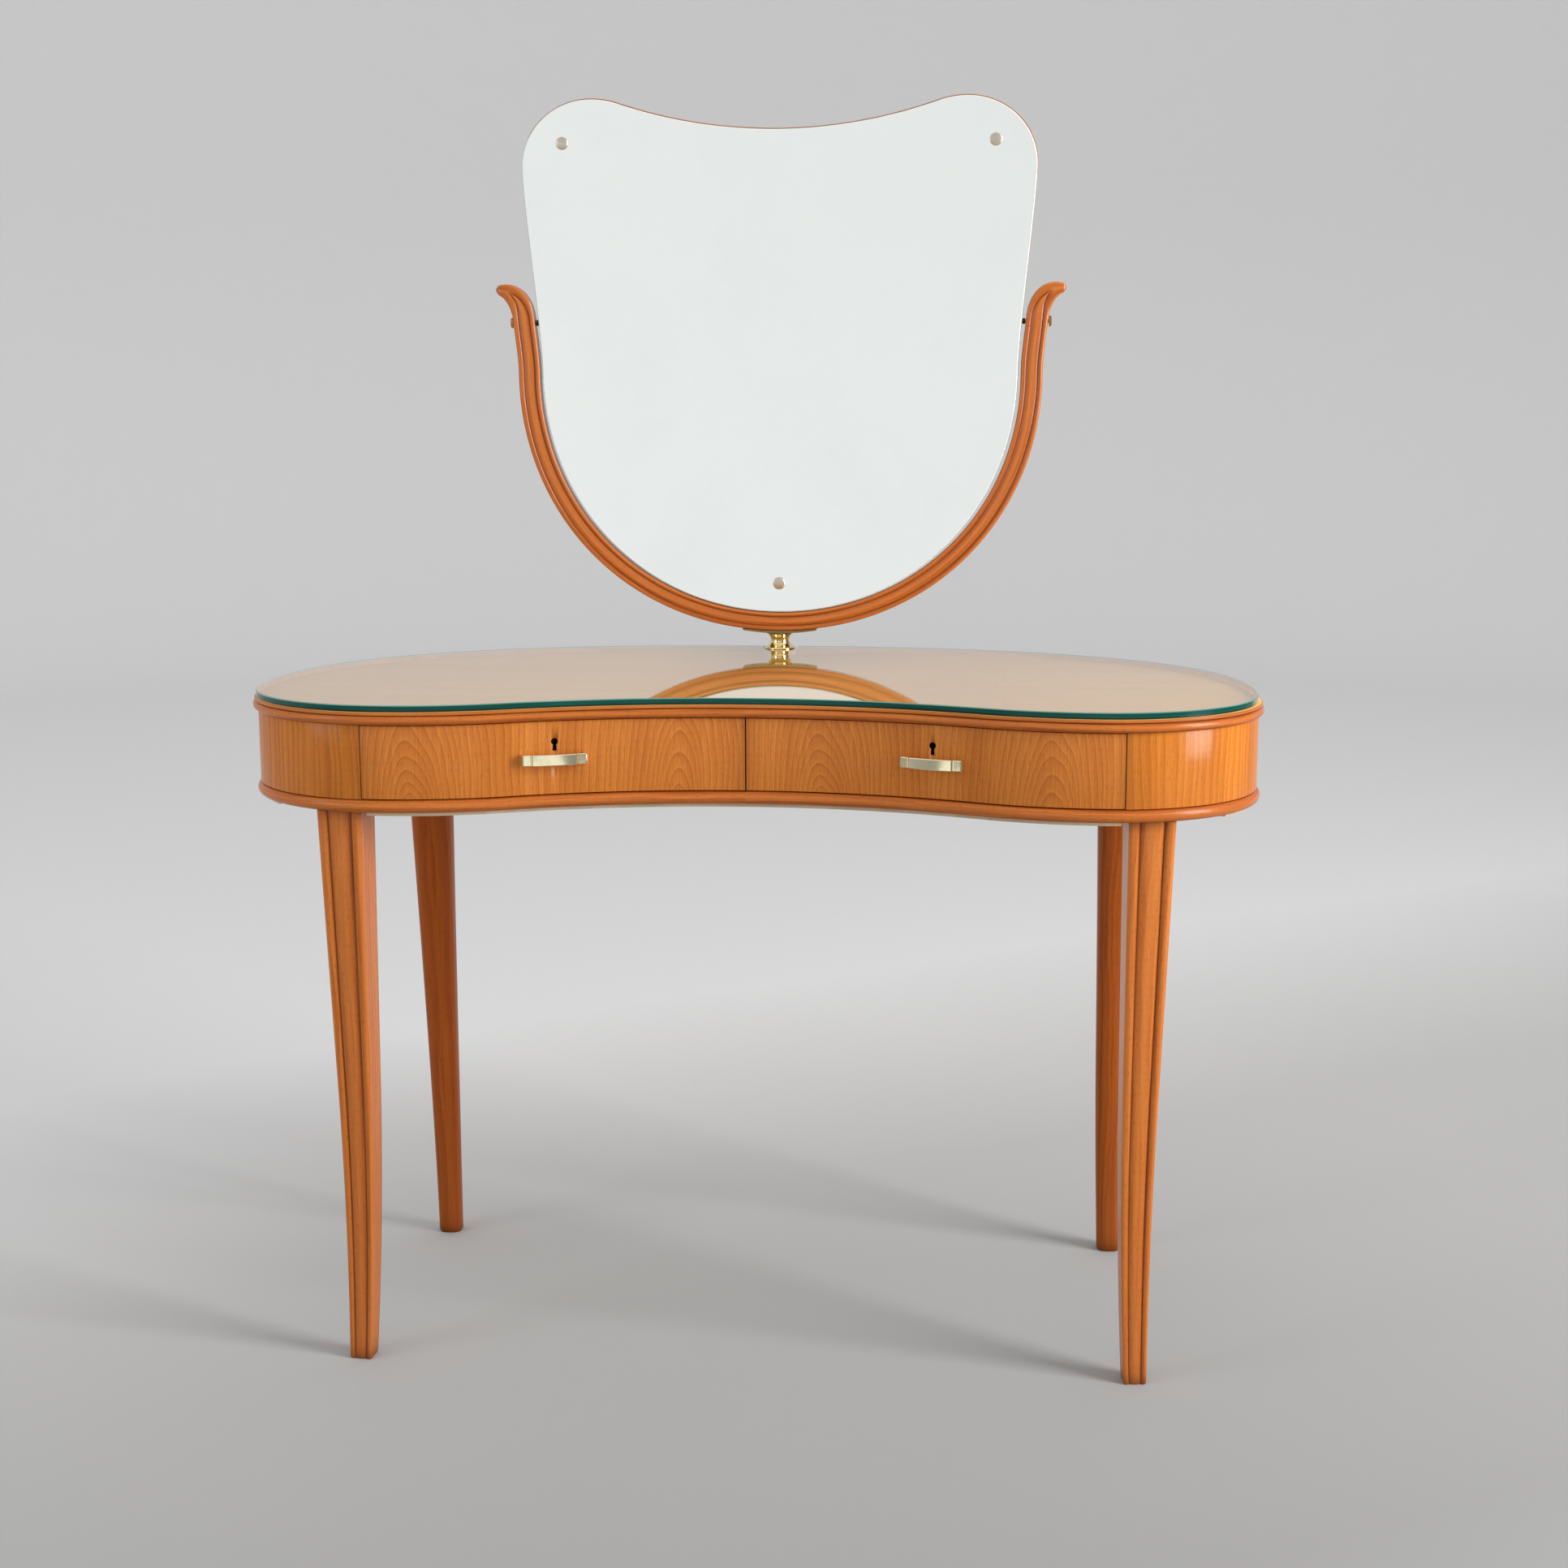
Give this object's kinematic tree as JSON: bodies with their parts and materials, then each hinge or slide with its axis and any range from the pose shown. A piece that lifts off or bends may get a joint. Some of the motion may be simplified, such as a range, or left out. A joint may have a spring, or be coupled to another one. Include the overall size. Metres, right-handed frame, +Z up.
{
  "type": "dressing table with mirror",
  "caption": "Kidney-shaped dressing table with a glass top, curved-front drawers, sabre legs and a shield-shaped mirror that tilts in a yoke on a turned post.",
  "frame": {"origin": "on the floor, in the middle of the bounding box in plan", "axes": "+X to the right seen from the front, +Y towards the back, +Z up; the front faces -Y"},
  "size_m": [1.1, 0.524, 1.3795],
  "materials": {
    "polished_wood": "polished reddish solid wood",
    "veneer": "polished golden-brown veneer",
    "pale_wood": "unpolished pale inner wood",
    "brass": "polished pale brass",
    "steel": "plain steel",
    "nickel": "worn satin nickel",
    "plate_glass": "clear with green edges",
    "mirror": "silvered glass"
  },
  "bodies": {
    "table": {"glass_top": "plate_glass", "table_top": "polished_wood", "base_board": "polished_wood", "underside_panel": "pale_wood", "left_end_panel": "veneer", "right_end_panel": "veneer", "back_panel": "veneer", "left_side_wall": "pale_wood", "right_side_wall": "pale_wood", "centre_partition": "pale_wood", "left_kicker": "pale_wood", "right_kicker": "pale_wood", "front_left_leg": "polished_wood", "front_right_leg": "polished_wood", "rear_left_leg": "polished_wood", "rear_right_leg": "polished_wood", "front_left_leg_block": "brass", "front_right_leg_block": "brass", "rear_left_leg_block": "brass", "rear_right_leg_block": "brass", "mirror_post": "brass"},
    "left_drawer": {"left_drawer_front": "veneer", "left_drawer_handle": "brass", "left_inner_handle_screw": "steel", "left_outer_handle_screw": "steel", "left_lock_case": "brass", "left_drawer_inner_side": "pale_wood", "left_drawer_outer_side": "pale_wood", "left_drawer_bottom": "pale_wood", "left_drawer_back": "pale_wood"},
    "left_lock_bolt": {"left_lock_bolt": "brass"},
    "right_drawer": {"right_drawer_front": "veneer", "right_drawer_handle": "brass", "right_inner_handle_screw": "steel", "right_outer_handle_screw": "steel", "right_lock_case": "brass", "right_drawer_inner_side": "pale_wood", "right_drawer_outer_side": "pale_wood", "right_drawer_bottom": "pale_wood", "right_drawer_back": "pale_wood"},
    "right_lock_bolt": {"right_lock_bolt": "brass"},
    "yoke": {"mirror_yoke": "polished_wood", "yoke_strap": "brass", "left_strap_screw": "brass", "right_strap_screw": "brass", "swivel_stud": "steel", "swivel_nut": "steel", "left_pivot_bolt": "brass", "right_pivot_bolt": "brass", "left_pivot_spacer": "steel", "right_pivot_spacer": "steel"},
    "mirror": {"mirror_backboard": "polished_wood", "mirror_glass": "mirror", "left_mirror_cap": "nickel", "right_mirror_cap": "nickel", "lower_mirror_cap": "nickel", "left_pivot_bush": "brass", "right_pivot_bush": "brass"}
  },
  "joints": [
    {"name": "left_drawer_slide", "type": "slide", "parent": "table", "child": "left_drawer", "axis": [0, -1, 0], "range_m": [0, 0.24]},
    {"name": "left_lock_bolt_slide", "type": "slide", "parent": "left_drawer", "child": "left_lock_bolt", "axis": [0, 0, 1], "range_m": [0, 0.0055]},
    {"name": "right_drawer_slide", "type": "slide", "parent": "table", "child": "right_drawer", "axis": [0, -1, 0], "range_m": [0, 0.24]},
    {"name": "right_lock_bolt_slide", "type": "slide", "parent": "right_drawer", "child": "right_lock_bolt", "axis": [0, 0, 1], "range_m": [0, 0.0055]},
    {"name": "yoke_swivel", "type": "hinge", "parent": "table", "child": "yoke", "pos_m": [0, 0.235, 0.738], "axis": [0, 0, 1], "range_deg": [-30, 30]},
    {"name": "mirror_tilt", "type": "hinge", "parent": "yoke", "child": "mirror", "pos_m": [0, 0.235, 1.119], "axis": [1, 0, 0], "range_deg": [-25, 30]}
  ]
}
